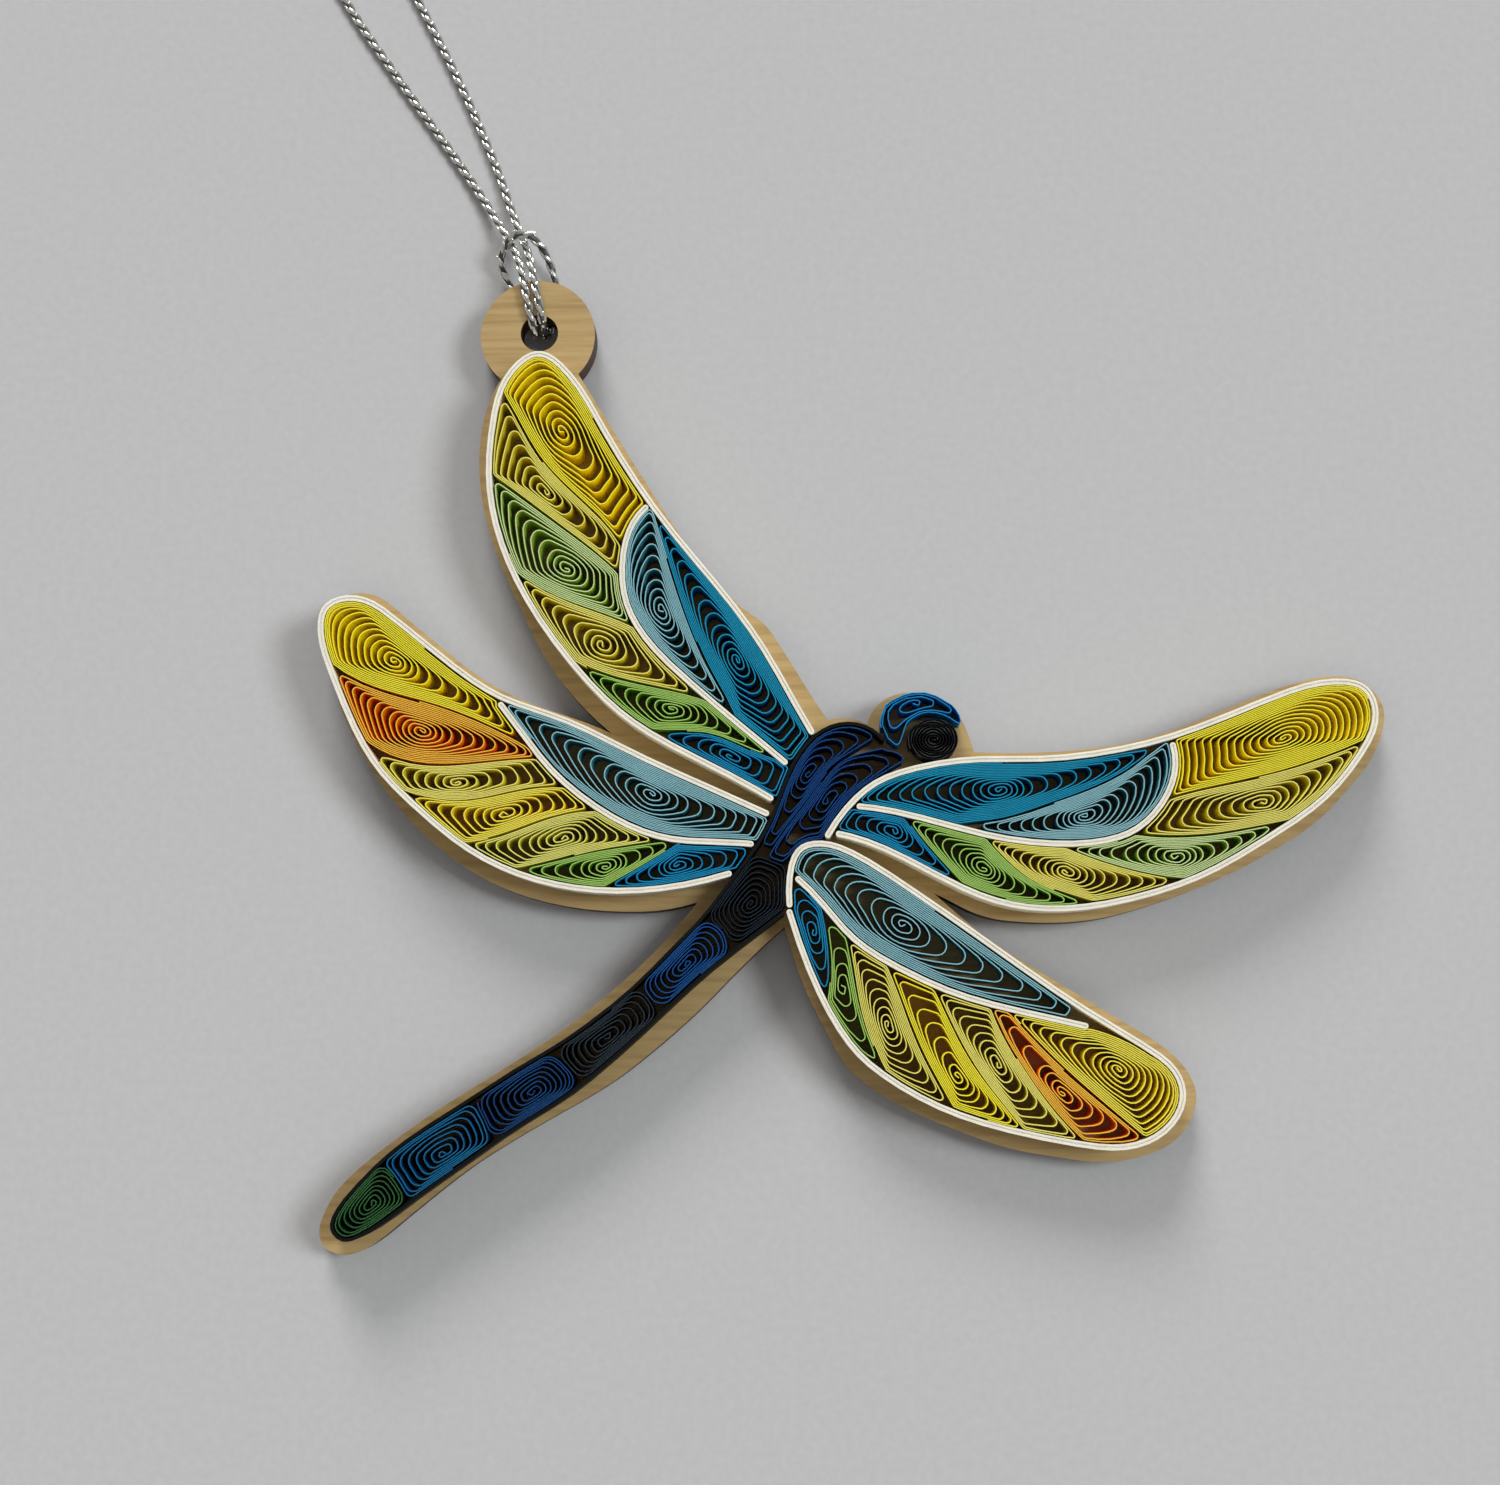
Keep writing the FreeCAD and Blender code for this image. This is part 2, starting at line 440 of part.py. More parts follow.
def hook(at, hand):
    """The straight inner end across the eye and its bend into the first turn."""
    length = math.hypot(*at)
    ux = at[0] / length
    uy = at[1] / length
    tx = -uy * hand
    ty = ux * hand
    points = [(-0.5 * at[0], -0.5 * at[1]), (-0.15 * at[0], -0.15 * at[1])]
    base = length - HOOK_R
    for bend in (0, 30, 60, 90):
        along = base + HOOK_R * math.sin(math.radians(bend))
        across = HOOK_R * (1 - math.cos(math.radians(bend)))
        points.append((ux * along + tx * across, uy * along + ty * across))
    return points


def board():
    """The plywood: curves between sharp corners, a round tab and its hole."""
    edges = []
    tab = V(TAB_AT[0], TAB_AT[1], 0)
    ends = []
    for points in (BOARD_EDGES[-1][-1], BOARD_EDGES[0][0]):
        out = V(points[0], points[1], 0) - tab
        ends.append(tab + out * (TAB_R / out.Length))
    for i, points in enumerate(BOARD_EDGES):
        points = list(points)
        if i == 0:
            points[0] = (ends[1].x, ends[1].y)
        if i == len(BOARD_EDGES) - 1:
            points[-1] = (ends[0].x, ends[0].y)
        edges += [arc.toShape() for arc in through(points).toBiArcs(ARC_OFF)]
    edges.append(Part.Arc(ends[0], tab + V(0, TAB_R, 0), ends[1]).toShape())
    face = Part.Face(Part.Wire(edges))
    solid = raised(face, BOARD_T, 0)
    hole = Part.makeCylinder(HOLE_R, BOARD_T + 2, V(HOLE_AT[0], HOLE_AT[1], -1))
    return solid.cut(hole)


def strips():
    """The white and black strips, each clear of those before it: lines and solids by name."""
    lines = {}
    black = dense(BODY_STRIP, 0.1)
    for wing, shape in WINGS.items():
        border = dense(shape["border"], 0.1)
        others = [line for name, line in lines.items() if name.endswith("border")]
        border = cleared(border, others, 2 * WHITE_HALF + GAP)
        border = cleared(border, [black], WHITE_HALF + BLACK_T / 2 + GAP)
        lines[wing + "_border"] = border
    for wing, shape in WINGS.items():
        borders = [lines[name + "_border"] for name in WINGS]
        divider = cleared(dense(shape["divider"], 0.1), borders, 2 * WHITE_HALF + GAP)
        lines[wing + "_divider"] = cleared(divider, [black], WHITE_HALF + BLACK_T / 2 + GAP)
    borders = [lines[name + "_border"] for name in WINGS]
    black = cleared(black, borders, WHITE_HALF + BLACK_T / 2 + GAP * 0.9)
    solids = {name: folded_strip(thinned(line)) for name, line in lines.items()}
    lines["body_strip"] = black
    solids["body_strip"] = strip(thinned(black), BLACK_T)
    return lines, solids


def strip_walls(lines, eye):
    """Every strip within reach of a coil's eye, with the distance to keep from its middle line."""
    walls = []
    for name, line in lines.items():
        near = [p for p in line if math.dist(p, eye) < 26]
        fine = []
        for a, b in zip(near, near[1:]):
            fine.append(a)
            if math.dist(a, b) < 0.3:
                fine.append(((a[0] + b[0]) / 2, (a[1] + b[1]) / 2))
        half = BLACK_T / 2 if name == "body_strip" else WHITE_HALF
        walls.append((fine, half + GAP))
    return walls


def coil(eye, walls, turns, start, hand, tip=TIP_R):
    line, made = coil_line(eye, walls, turns, start, hand, tip=tip)
    return strip(line, PAPER_T), made


def wing_coils(lines):
    solids = {}
    for wing, shape in WINGS.items():
        ribs = {name: dense(points, 0.05) for name, points in shape["ribs"].items()}
        for i, (colour, eye, turns, names) in enumerate(shape["coils"]):
            walls = strip_walls(lines, eye) + [(ribs[name], GAP / 2) for name in names]
            solid, made = coil(eye, walls, turns, 70 * i + 25, 1 if i % 2 else -1)
            solids["%s_%s_coil" % (wing, colour)] = solid
            print(wing, colour, "turns", turns, "made", made)
    return solids


def body_coils(lines):
    solids = {}
    ribs = {name: dense(points, 0.05) for name, points in BODY_RIBS.items()}
    for i, (name, eye, turns, names, tip) in enumerate(BODY_COILS):
        walls = strip_walls(lines, eye) + [(ribs[rib], GAP / 2) for rib in names]
        solids[name], made = coil(eye, walls, turns, 110 * i, -1 if i % 2 else 1, tip)
        print(name, "turns", turns, "made", made)
    return solids


def eye_disc():
    ring = [(EYE_AT[0] + EYE_RX * math.cos(a), EYE_AT[1] + EYE_RY * math.sin(a))
            for a in (math.radians(d) for d in range(360))]
    solid, made = coil(EYE_AT, [(ring, 0.0)], 9, 200, 1)
    print("eye turns", made)
    return solid


def brow_at(angle, column):
    """A figure of the crescent at an angle, between the two rows of its table on either side."""
    for a, b in zip(BROW, BROW[1:]):
        if a[0] >= angle >= b[0]:
            part = (a[0] - angle) / (a[0] - b[0])
            return a[column] * (1 - part) + b[column] * part
    return BROW[-1][column]


def brow():
    """The head's crescent: coiled as a straight leaf, then bent round the eye."""
    radius = 3.2
    edge = []
    mids = through([(a, r) for a, r, w in BROW[::-1]])
    angles = [BROW[0][0] + (BROW[-1][0] - BROW[0][0]) * i / 400 for i in range(401)]
    for a in angles:
        along = math.radians(BROW_EYE - a) * radius
        wide = brow_at(a, 2)
        edge += [(along, wide), (along, -wide)]
    line, made = coil_line((0, 0), [(edge, 0.0)], BROW_TURNS, 160, 1, 0.12, 0.5)
    print("crescent turns", made)
    bent = []
    for along, out in line:
        a = BROW_EYE - math.degrees(along / radius)
        mid = brow_at(a, 1)
        angle = math.radians(a)
        bent.append((BROW_AT[0] + (mid + out) * math.cos(angle), BROW_AT[1] + (mid + out) * math.sin(angle)))
    return strip(bent, BROW_PAPER_T)


def rounded_route(route, diameter):
    """Straight runs joined by tangent arcs: the wire and its tightest arc."""
    points = [V(*p) for p in route]
    edges = []
    radii = []
    at = points[0]
    for before, here, after in zip(points, points[1:], points[2:]):
        into = (here - before).normalize()
        out = (after - here).normalize()
        half = math.acos(max(-1.0, min(1.0, into.dot(out)))) / 2
        trim = 0.45 * min((here - before).Length, (after - here).Length)
        radii.append(trim / math.tan(half))
        a = here - into * trim
        b = here + out * trim
        bisector = (out - into).normalize()
        middle = here + bisector * (radii[-1] / math.cos(half) - radii[-1])
        edges.append(Part.LineSegment(at, a).toShape())
        edges.append(Part.Arc(a, middle, b).toShape())
        at = b
    edges.append(Part.LineSegment(at, points[-1]).toShape())
    print("arc radii", ["%.2f" % r for r in radii])
    return Part.Wire(edges)


def cord():
    wire = rounded_route(CORD_ROUTE, CORD_D)
    start = V(*CORD_ROUTE[0])
    axis = (V(*CORD_ROUTE[1]) - start).normalize()
    ring = Part.Wire(Part.Circle(start, axis, CORD_D / 2).toShape())
    tube = wire.makePipeShell([ring], True, False)
    full = math.pi * CORD_D ** 2 / 4 * wire.Length
    print("cord length %.2f volume %.3f section by length %.3f" % (wire.Length, tube.Volume, full))
    return tube


def knot():
    """The knot that ends both strands: a rounded barrel with two short tails."""
    middle_x = (CORD_ROUTE[0][0] + CORD_ROUTE[-1][0]) / 2
    foot = V(middle_x, CORD_ROUTE[0][1], KNOT_R)
    barrel = Part.makeCylinder(KNOT_R, KNOT_L, foot, V(0, 1, 0))
    barrel = barrel.makeFillet(0.55, [e for e in barrel.Edges if isinstance(e.Curve, Part.Circle)])
    for x, lean in ((middle_x - 0.5, -0.25), (middle_x + 0.5, 0.2)):
        tail = Part.makeCylinder(CORD_D / 2, TAIL_L, V(x, foot.y + KNOT_L * 0.7, CORD_Z), V(lean, 1, 0))
        barrel = barrel.fuse(tail)
    return barrel


def rested(shape):
    """The flat ornament tipped about its two resting tips, so that its tab lies on the cord."""
    a = V(RESTS[0][0], RESTS[0][1], 0)
    b = V(RESTS[1][0], RESTS[1][1], 0)
    along = (b - a).normalize()
    hole = V(HOLE_AT[0], HOLE_AT[1], 0) - a
    span = (hole - along * hole.dot(along)).Length
    shape.rotate(a, along, math.degrees(math.asin(LIFT_AT_HOLE / span)))


def main():
    os.makedirs("parts", exist_ok=True)
    solids = {"backing_board": board()}
    lines, made = strips()
    solids.update(made)
    solids.update(wing_coils(lines))
    solids.update(body_coils(lines))
    solids["head_black_coil"] = eye_disc()
    solids["head_crescent_coil"] = brow()
    for shape in solids.values():
        rested(shape)
    box = solids["backing_board"].optimalBoundingBox(False, False)
    shift = V(-(box.XMin + box.XMax) / 2, -(box.YMin + box.YMax) / 2, -box.ZMin)
    print("shift", shift, "box", box)
    solids["hanging_cord"] = cord()
    solids["cord_knot"] = knot()
    for name, shape in solids.items():
        level = 0 if name in ("hanging_cord", "cord_knot") else shift.z
        shape.translate(V(shift.x, shift.y, level))
        if not shape.isValid() or shape.Volume <= 0:
            print("NOT VALID", name, shape.isValid(), shape.Volume)
        shape.exportStep("parts/%s.step" % name)
    print("nodes", len(solids))


main()
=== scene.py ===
import json
import math
import bmesh
import bpy
from mathutils import Matrix, Vector
from mathutils.geometry import tessellate_polygon


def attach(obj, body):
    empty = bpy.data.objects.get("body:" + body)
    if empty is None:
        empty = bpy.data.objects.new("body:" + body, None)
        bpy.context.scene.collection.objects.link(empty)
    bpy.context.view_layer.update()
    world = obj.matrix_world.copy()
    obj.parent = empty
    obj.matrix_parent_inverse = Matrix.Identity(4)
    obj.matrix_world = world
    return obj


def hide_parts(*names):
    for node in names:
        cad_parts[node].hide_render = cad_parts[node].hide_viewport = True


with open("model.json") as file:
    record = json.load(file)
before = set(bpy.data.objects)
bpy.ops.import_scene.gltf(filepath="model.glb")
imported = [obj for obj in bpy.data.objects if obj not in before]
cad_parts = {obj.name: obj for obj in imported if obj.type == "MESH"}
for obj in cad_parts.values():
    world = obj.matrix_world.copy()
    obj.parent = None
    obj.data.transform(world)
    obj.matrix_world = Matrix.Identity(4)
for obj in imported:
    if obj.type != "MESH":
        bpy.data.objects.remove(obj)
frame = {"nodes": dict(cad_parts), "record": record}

bl_info = {
    "name": "Quilled Ornament",
    "version": (1, 0, 0),
    "blender": (4, 5, 0),
    "location": "View3D > Sidebar > Quilling",
    "description": "Finishes a quilled paper ornament on plywood with its hanging cord",
    "category": "Add Mesh",
}

MM = 0.001
FLOOR_HALF = 3.0          # half the floor's side, in metres
LOWEST_THREAD = 0.00002   # the cord's stitches flatten at this height above the floor
EYE_RING_PITCH = 0.0003   # from one light ring of the eye coil to the next, in metres
WELD = 1e-7               # corners nearer than this are one corner


def srgb(r, g, b):
    """A display colour of 0 to 255 as the linear colour that materials take."""
    def one(v):
        v = v / 255
        return v / 12.92 if v <= 0.04045 else ((v + 0.055) / 1.055) ** 2.4
    return (one(r), one(g), one(b))


# Paper colours by the record's slot: the sides of the strip and the cut edge that faces up, which is
# lighter partly from the paper's paler core and partly as a painted highlight.
PAPERS = {
    "white_paper": ((240, 234, 214), (246, 241, 226)),
    "black_paper": ((3, 3, 4), (12, 13, 14)),
    "yellow_paper": ((255, 226, 0), (255, 240, 56)),
    "pale_yellow_paper": ((252, 222, 24), (252, 237, 82)),
    "orange_paper": ((255, 134, 0), (252, 190, 62)),
    "khaki_paper": ((226, 208, 50), (238, 228, 106)),
    "lime_paper": ((230, 214, 56), (242, 230, 112)),
    "light_green_paper": ((164, 194, 70), (200, 224, 150)),
    "green_paper": ((116, 168, 34), (160, 202, 98)),
    "sky_blue_paper": ((0, 108, 150), (22, 144, 182)),
    "bright_blue_paper": ((0, 104, 152), (20, 136, 184)),
    "steel_blue_paper": ((64, 132, 146), (138, 190, 200)),
    "dark_blue_paper": ((2, 28, 76), (14, 60, 120)),
    "royal_blue_paper": ((4, 52, 112), (22, 86, 156)),
    "slate_paper": ((8, 14, 20), (36, 46, 54)),
}

# Pieces whose paper is another shade than the rest of their slot.
SHADES = {
    "left_hindwing_light_green_coil": ((218, 212, 62), (232, 229, 118)),
    "right_hindwing_light_green_coil": ((224, 208, 54), (240, 228, 108)),
    "abdomen_green_coil": ((10, 44, 16), (46, 92, 50)),
    "abdomen_blue_coil": ((0, 58, 98), (20, 100, 146)),
    "abdomen_royal_blue_coil": ((2, 34, 86), (20, 72, 134)),
    "abdomen_dark_blue_coil": ((2, 28, 70), (20, 62, 112)),
    "abdomen_black_coil": ((4, 7, 10), (22, 32, 42)),
    "head_black_coil": ((2, 2, 2), (3, 3, 4)),
    "head_crescent_coil": ((4, 110, 172), (24, 132, 196)),
}


class PaperSettings(bpy.types.PropertyGroup):
    # The edge is lighter partly from the paper's paler core and partly as a painted highlight where the
    # top catches the light.
    edge_tone_and_highlight: bpy.props.FloatProperty(
        name="Edge Lightness", description="How far the cut edge of the paper is lighter than its sides",
        default=1.0, min=0.0, max=1.0, subtype="FACTOR")
    roughness: bpy.props.FloatProperty(
        name="Roughness", description="Surface roughness of the paper", default=0.62, min=0.0, max=1.0)
    glow: bpy.props.FloatProperty(
        name="Glow", description="Share of the light that passes through the thin paper", default=0.65,
        min=0.0, max=1.0, subtype="FACTOR")
    reach: bpy.props.FloatProperty(
        name="Reach", description="How far light travels inside the paper", default=0.00025, min=0.0,
        max=0.01, subtype="DISTANCE", unit="LENGTH")
    glue_depth: bpy.props.FloatProperty(
        name="Glue Depth", description="How far the glue lies below the edge of a folded strip",
        default=0.00008, min=0.0, max=0.003, subtype="DISTANCE", unit="LENGTH")


class BoardSettings(bpy.types.PropertyGroup):
    wood: bpy.props.FloatVectorProperty(
        name="Wood", description="Colour of the bare plywood face", subtype="COLOR", size=3,
        default=srgb(182, 154, 102), min=0.0, max=1.0)
    grain: bpy.props.FloatVectorProperty(
        name="Grain", description="Colour of the darker grain lines", subtype="COLOR", size=3,
        default=srgb(160, 131, 82), min=0.0, max=1.0)
    burnt: bpy.props.FloatVectorProperty(
        name="Cut Edge", description="Colour of the laser-cut edge", subtype="COLOR", size=3,
        default=srgb(56, 36, 24), min=0.0, max=1.0)


class CordSettings(bpy.types.PropertyGroup):
    diameter: bpy.props.FloatProperty(
        name="Diameter", description="Outer diameter of the knitted cord", default=0.0009, min=0.0003,
        max=0.01, subtype="DISTANCE", unit="LENGTH")
    pitch: bpy.props.FloatProperty(
        name="Stitch Pitch", description="Distance from one stitch to the next", default=0.0015,
        min=0.0003, max=0.01, subtype="DISTANCE", unit="LENGTH")
    silver: bpy.props.FloatVectorProperty(
        name="Silver", description="Colour of the metallic thread", subtype="COLOR", size=3,
        default=srgb(224, 224, 220), min=0.0, max=1.0)


class StageSettings(bpy.types.PropertyGroup):
    floor: bpy.props.FloatVectorProperty(
        name="Floor", description="Colour of the paper the ornament lies on", subtype="COLOR", size=3,
        default=srgb(193, 193, 194), min=0.0, max=1.0)
    key_light: bpy.props.FloatProperty(
        name="Key Light", description="Strength of the window light from the right", default=1.5, min=0.0,
        max=100.0)
    fill_light: bpy.props.FloatProperty(
        name="Second Light", description="Strength of the light from the far side", default=2.1, min=0.0,
        max=100.0)
    sky: bpy.props.FloatProperty(
        name="Sky Light", description="Strength of the even light from all round", default=0.33, min=0.0,
        max=10.0)


def new_material(name, slot):
    """A material with a bare tree, its output and its surface shader."""
    mat = bpy.data.materials.new(name)
    mat.use_nodes = True
    tree = mat.node_tree
    tree.nodes.clear()
    out = tree.nodes.new("ShaderNodeOutputMaterial")
    shader = tree.nodes.new("ShaderNodeBsdfPrincipled")
    tree.links.new(shader.outputs["BSDF"], out.inputs["Surface"])
    mat["slot"] = slot
    return mat, tree, shader


def add(tree, kind, **settings):
    """A new node of a kind, with its settings."""
    node = tree.nodes.new(kind)
    for name, value in settings.items():
        setattr(node, name, value)
    return node


def mix_colour(tree, factor, a, b):
    """A colour mix; factor, a and b are each a socket or a plain value."""
    node = add(tree, "ShaderNodeMix", data_type="RGBA")
    inputs = [s for s in node.inputs if s.enabled]
    for socket, value in zip(inputs, (factor, a, b)):
        if isinstance(value, bpy.types.NodeSocket):
            tree.links.new(value, socket)
        elif isinstance(value, (int, float)):
            socket.default_value = value
        else:
            socket.default_value = (*value, 1.0)
    return [s for s in node.outputs if s.enabled][0]


def ramp(tree, socket, low, high, to_low=0.0, to_high=1.0):
    """A socket's value moved from one span to another and held inside it."""
    node = add(tree, "ShaderNodeMapRange", clamp=True)
    tree.links.new(socket, node.inputs["Value"])
    node.inputs["From Min"].default_value = low
    node.inputs["From Max"].default_value = high
    node.inputs["To Min"].default_value = to_low
    node.inputs["To Max"].default_value = to_high
    return node.outputs["Result"]


def facing_up(tree):
    """1 where the surface faces up, 0 on upright sides."""
    geometry = add(tree, "ShaderNodeNewGeometry")
    split = add(tree, "ShaderNodeSeparateXYZ")
    tree.links.new(geometry.outputs["True Normal"], split.inputs[0])
    return ramp(tree, split.outputs["Z"], 0.4, 0.8)


def paper_material(name, slot, shades, settings):
    """Thin paper: its sides and cut edge in two shades, the lighter edge partly the paper's paler core
    and partly a painted highlight on the top, with faint fibres and some light let through.
    """
    side, edge = shades
    mat, tree, shader = new_material(name, slot)
    up = facing_up(tree)
    fibre = add(tree, "ShaderNodeTexNoise")
    coords = add(tree, "ShaderNodeTexCoord")
    tree.links.new(coords.outputs["Object"], fibre.inputs["Vector"])
    fibre.inputs["Scale"].default_value = 900.0
    fibre.inputs["Detail"].default_value = 3.0
    # Painted highlight: faces that look up take the lighter edge colour, partly the paper's paler core
    # and partly light painted onto the top.
    amount = ramp(tree, up, 0.0, 1.0, 0.0, settings.edge_tone_and_highlight)
    base = mix_colour(tree, amount, srgb(*side), srgb(*edge))
    shade = add(tree, "ShaderNodeMix", data_type="RGBA", blend_type="MULTIPLY")
    inputs = [s for s in shade.inputs if s.enabled]
    tree.links.new(ramp(tree, fibre.outputs["Fac"], 0.35, 0.7, 0.0, 0.22), inputs[0])
    tree.links.new(base, inputs[1])
    inputs[2].default_value = (0.55, 0.55, 0.55, 1.0)
    tree.links.new([s for s in shade.outputs if s.enabled][0], shader.inputs["Base Color"])
    shader.inputs["Roughness"].default_value = settings.roughness
    shader.inputs["Specular IOR Level"].default_value = 0.12
    shader.inputs["Subsurface Weight"].default_value = settings.glow
    shader.inputs["Subsurface Radius"].default_value = (1.0, 1.0, 1.0)
    shader.inputs["Subsurface Scale"].default_value = settings.reach
    return mat


def board_material(settings):
    """Plywood with faint grain on its faces and a burnt edge."""
    mat, tree, shader = new_material("birch_plywood", "birch_plywood")
    up = facing_up(tree)
    coords = add(tree, "ShaderNodeTexCoord")
    mapping = add(tree, "ShaderNodeMapping")
    tree.links.new(coords.outputs["Object"], mapping.inputs["Vector"])
    mapping.inputs["Rotation"].default_value = (0.0, 0.0, math.radians(-12))
    mapping.inputs["Scale"].default_value = (60.0, 900.0, 200.0)
    grain = add(tree, "ShaderNodeTexNoise")
    tree.links.new(mapping.outputs["Vector"], grain.inputs["Vector"])
    grain.inputs["Scale"].default_value = 1.6
    grain.inputs["Detail"].default_value = 5.0
    grain.inputs["Roughness"].default_value = 0.6
    face = mix_colour(tree, ramp(tree, grain.outputs["Fac"], 0.42, 0.68), tuple(settings.wood),
                      tuple(settings.grain))
    edge = mix_colour(tree, ramp(tree, grain.outputs["Fac"], 0.3, 0.7), tuple(settings.burnt),
                      tuple(c * 1.9 for c in settings.burnt))
    tree.links.new(mix_colour(tree, up, edge, face), shader.inputs["Base Color"])
    shader.inputs["Roughness"].default_value = 0.6
    bump = add(tree, "ShaderNodeBump")
    bump.inputs["Strength"].default_value = 0.25
    bump.inputs["Distance"].default_value = 0.00008
    tree.links.new(grain.outputs["Fac"], bump.inputs["Height"])
    tree.links.new(bump.outputs["Normal"], shader.inputs["Normal"])
    return mat


def cord_material(settings):
    """Shiny metallic thread."""
    mat, _, shader = new_material("silver_cord", "silver_cord")
    shader.inputs["Metallic"].default_value = 1.0
    shader.inputs["Roughness"].default_value = 0.24
    shader.inputs["Base Color"].default_value = (*settings.silver, 1.0)
    return mat


def dress(obj, mat):
    """Give a piece one material and that material's slot."""
    obj.data.materials.clear()
    obj.data.materials.append(mat)


class QUILL_OT_board(bpy.types.Operator):
    """Finish the plywood backing"""
    bl_idname = "quill.board"
    bl_label = "Backing Board"

    def execute(self, context):
        dress(frame["nodes"]["backing_board"], board_material(context.scene.quill_board))
        return {"FINISHED"}


def add_rings(mat, centre, pitch):
    """Fine light rings round a point, as the turns of a tightly rolled coil catch the light."""
    tree = mat.node_tree
    shader = next(n for n in tree.nodes if n.type == "BSDF_PRINCIPLED")
    base = shader.inputs["Base Color"].links[0].from_socket
    coords = add(tree, "ShaderNodeTexCoord")
    mapping = add(tree, "ShaderNodeMapping")
    tree.links.new(coords.outputs["Object"], mapping.inputs["Vector"])
    mapping.inputs["Location"].default_value = (-centre.x, -centre.y, 0.0)
    rings = add(tree, "ShaderNodeTexWave", wave_type="RINGS", rings_direction="Z")
    tree.links.new(mapping.outputs["Vector"], rings.inputs["Vector"])
    rings.inputs["Scale"].default_value = math.pi / (10 * pitch)
    rings.inputs["Distortion"].default_value = 0.6
    rings.inputs["Detail Scale"].default_value = 0.3
    colour = mix_colour(tree, ramp(tree, rings.outputs["Fac"], 0.72, 1.0), base, srgb(58, 60, 62))
    tree.links.new(colour, shader.inputs["Base Color"])


def slot_outline(obj):
    """The shortest closed edge of a folded strip's top face, which runs round its slot, if it has one."""
    mesh = bmesh.new()
    mesh.from_mesh(obj.data)
    bmesh.ops.remove_doubles(mesh, verts=mesh.verts, dist=WELD)
    mesh.normal_update()
    # A rim has one face that looks up beside it, and a wall on its other side.
    rims = [e for e in mesh.edges if sum(f.normal.z > 0.9 for f in e.link_faces) == 1]
    after = {}
    for edge in rims:
        a, b = edge.verts
        after.setdefault(a, []).append(b)
        after.setdefault(b, []).append(a)
    loops = []
    while after:
        start = next(iter(after))
        loop, here = [], start
        while here in after:
            loop.append(here.co.copy())
            onward = [v for v in after.pop(here) if v in after]
            here = onward[0] if onward else None
        loops.append(loop)
    mesh.free()
    if len(loops) < 2:
        return None
    return min(loops, key=lambda p: sum((a - b).length for a, b in zip(p, p[1:])))


class QUILL_OT_glue(bpy.types.Operator):
    """Fill the slot of every folded strip with a line of glue just below its edge"""
    bl_idname = "quill.glue"
    bl_label = "Glue Lines"

    def execute(self, context):
        depth = context.scene.quill_paper.glue_depth
        for name, obj in list(frame["nodes"].items()):
            if not name.endswith(("_border", "_divider")):
                continue
            outline = slot_outline(obj)
            if outline is None:
                continue
            outline = [p - Vector((0.0, 0.0, depth)) for p in outline]
            mesh = bpy.data.meshes.new(name + "_glue")
            mesh.from_pydata(outline, [], tessellate_polygon([outline]))
            piece = bpy.data.objects.new(name + "_glue", mesh)
            context.scene.collection.objects.link(piece)
            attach(piece, "root")
            piece.data.materials.append(obj.data.materials[0])
        return {"FINISHED"}


class QUILL_OT_paper(bpy.types.Operator):
    """Finish every paper strip and coil"""
    bl_idname = "quill.paper"
    bl_label = "Paper Strips and Coils"

    def execute(self, context):
        slots = {part["node"]: part["material_slot"] for part in frame["record"]["subparts"]}
        made = {}
        for name, obj in frame["nodes"].items():
            slot = slots[name]
            if slot not in PAPERS:
                continue
            paper = name + "_paper" if name in SHADES else slot
            if paper not in made:
                shades = SHADES.get(name, PAPERS[slot])
                made[paper] = paper_material(paper, slot, shades, context.scene.quill_paper)
            dress(obj, made[paper])
            if name == "head_black_coil":
                corners = [Vector(c) for c in obj.bound_box]
                add_rings(made[paper], sum(corners, Vector()) / 8, EYE_RING_PITCH)
        return {"FINISHED"}


# The cord's route in millimetres: from the knot down one strand, through the hitch and back up.
ROUTE = [(-51.6, 95.6, 0.47), (-55.3, 86.5, 0.47), (-50.2, 76.6, 0.47), (-43.6, 66.9, 0.47),
         (-37.6, 58.4, 0.47), (-34.4, 53.2, 0.95), (-31.9, 48.7, 2.95), (-31.1, 45.6, 4.3),
         (-30.05, 40.95, 4.08), (-30.05, 40.9, 0.47), (-31.6, 44.0, 0.47), (-33.0, 46.6, 0.6),
         (-33.9, 48.6, 1.6), (-32.6, 50.4, 3.4), (-30.5, 50.6, 3.4), (-29.1, 49.0, 1.6),
         (-28.3, 46.4, 0.6), (-28.6, 43.8, 0.47), (-29.07, 40.9, 0.47), (-29.07, 40.95, 4.08),
         (-30.05, 45.6, 4.3), (-30.75, 48.7, 2.95), (-32.6, 53.2, 0.95), (-34.2, 58.2, 0.47),
         (-37.9, 67.0, 0.47), (-42.6, 76.4, 0.47), (-47.9, 86.3, 0.47), (-50.6, 95.6, 0.47)]
# How far the part is moved so that it rests on the floor at the frame's middle, in metres.
SHIFT = Vector((0.00022028, -0.0000295, 0.00000173))


def route_curve():
    """The cord's middle line as a smooth spline, moved with the part."""
    data = bpy.data.curves.new("cord_route", "CURVE")
    data.dimensions = "3D"
    spline = data.splines.new("NURBS")
    spline.points.add(len(ROUTE) - 1)
    for point, place in zip(spline.points, ROUTE):
        point.co = (*(Vector(place) * MM + Vector((SHIFT.x, SHIFT.y, 0))), 1.0)
    spline.order_u = 3
    spline.use_endpoint_u = True
    spline.resolution_u = 12
    data.twist_mode = "Z_UP"
    obj = bpy.data.objects.new("cord_route", data)
    bpy.context.scene.collection.objects.link(obj)
    return obj


def number_input(group, name):
    """A named number that a node group takes; its identifier is what a modifier sets."""
    return group.interface.new_socket(name=name, in_out="INPUT", socket_type="NodeSocketFloat").identifier


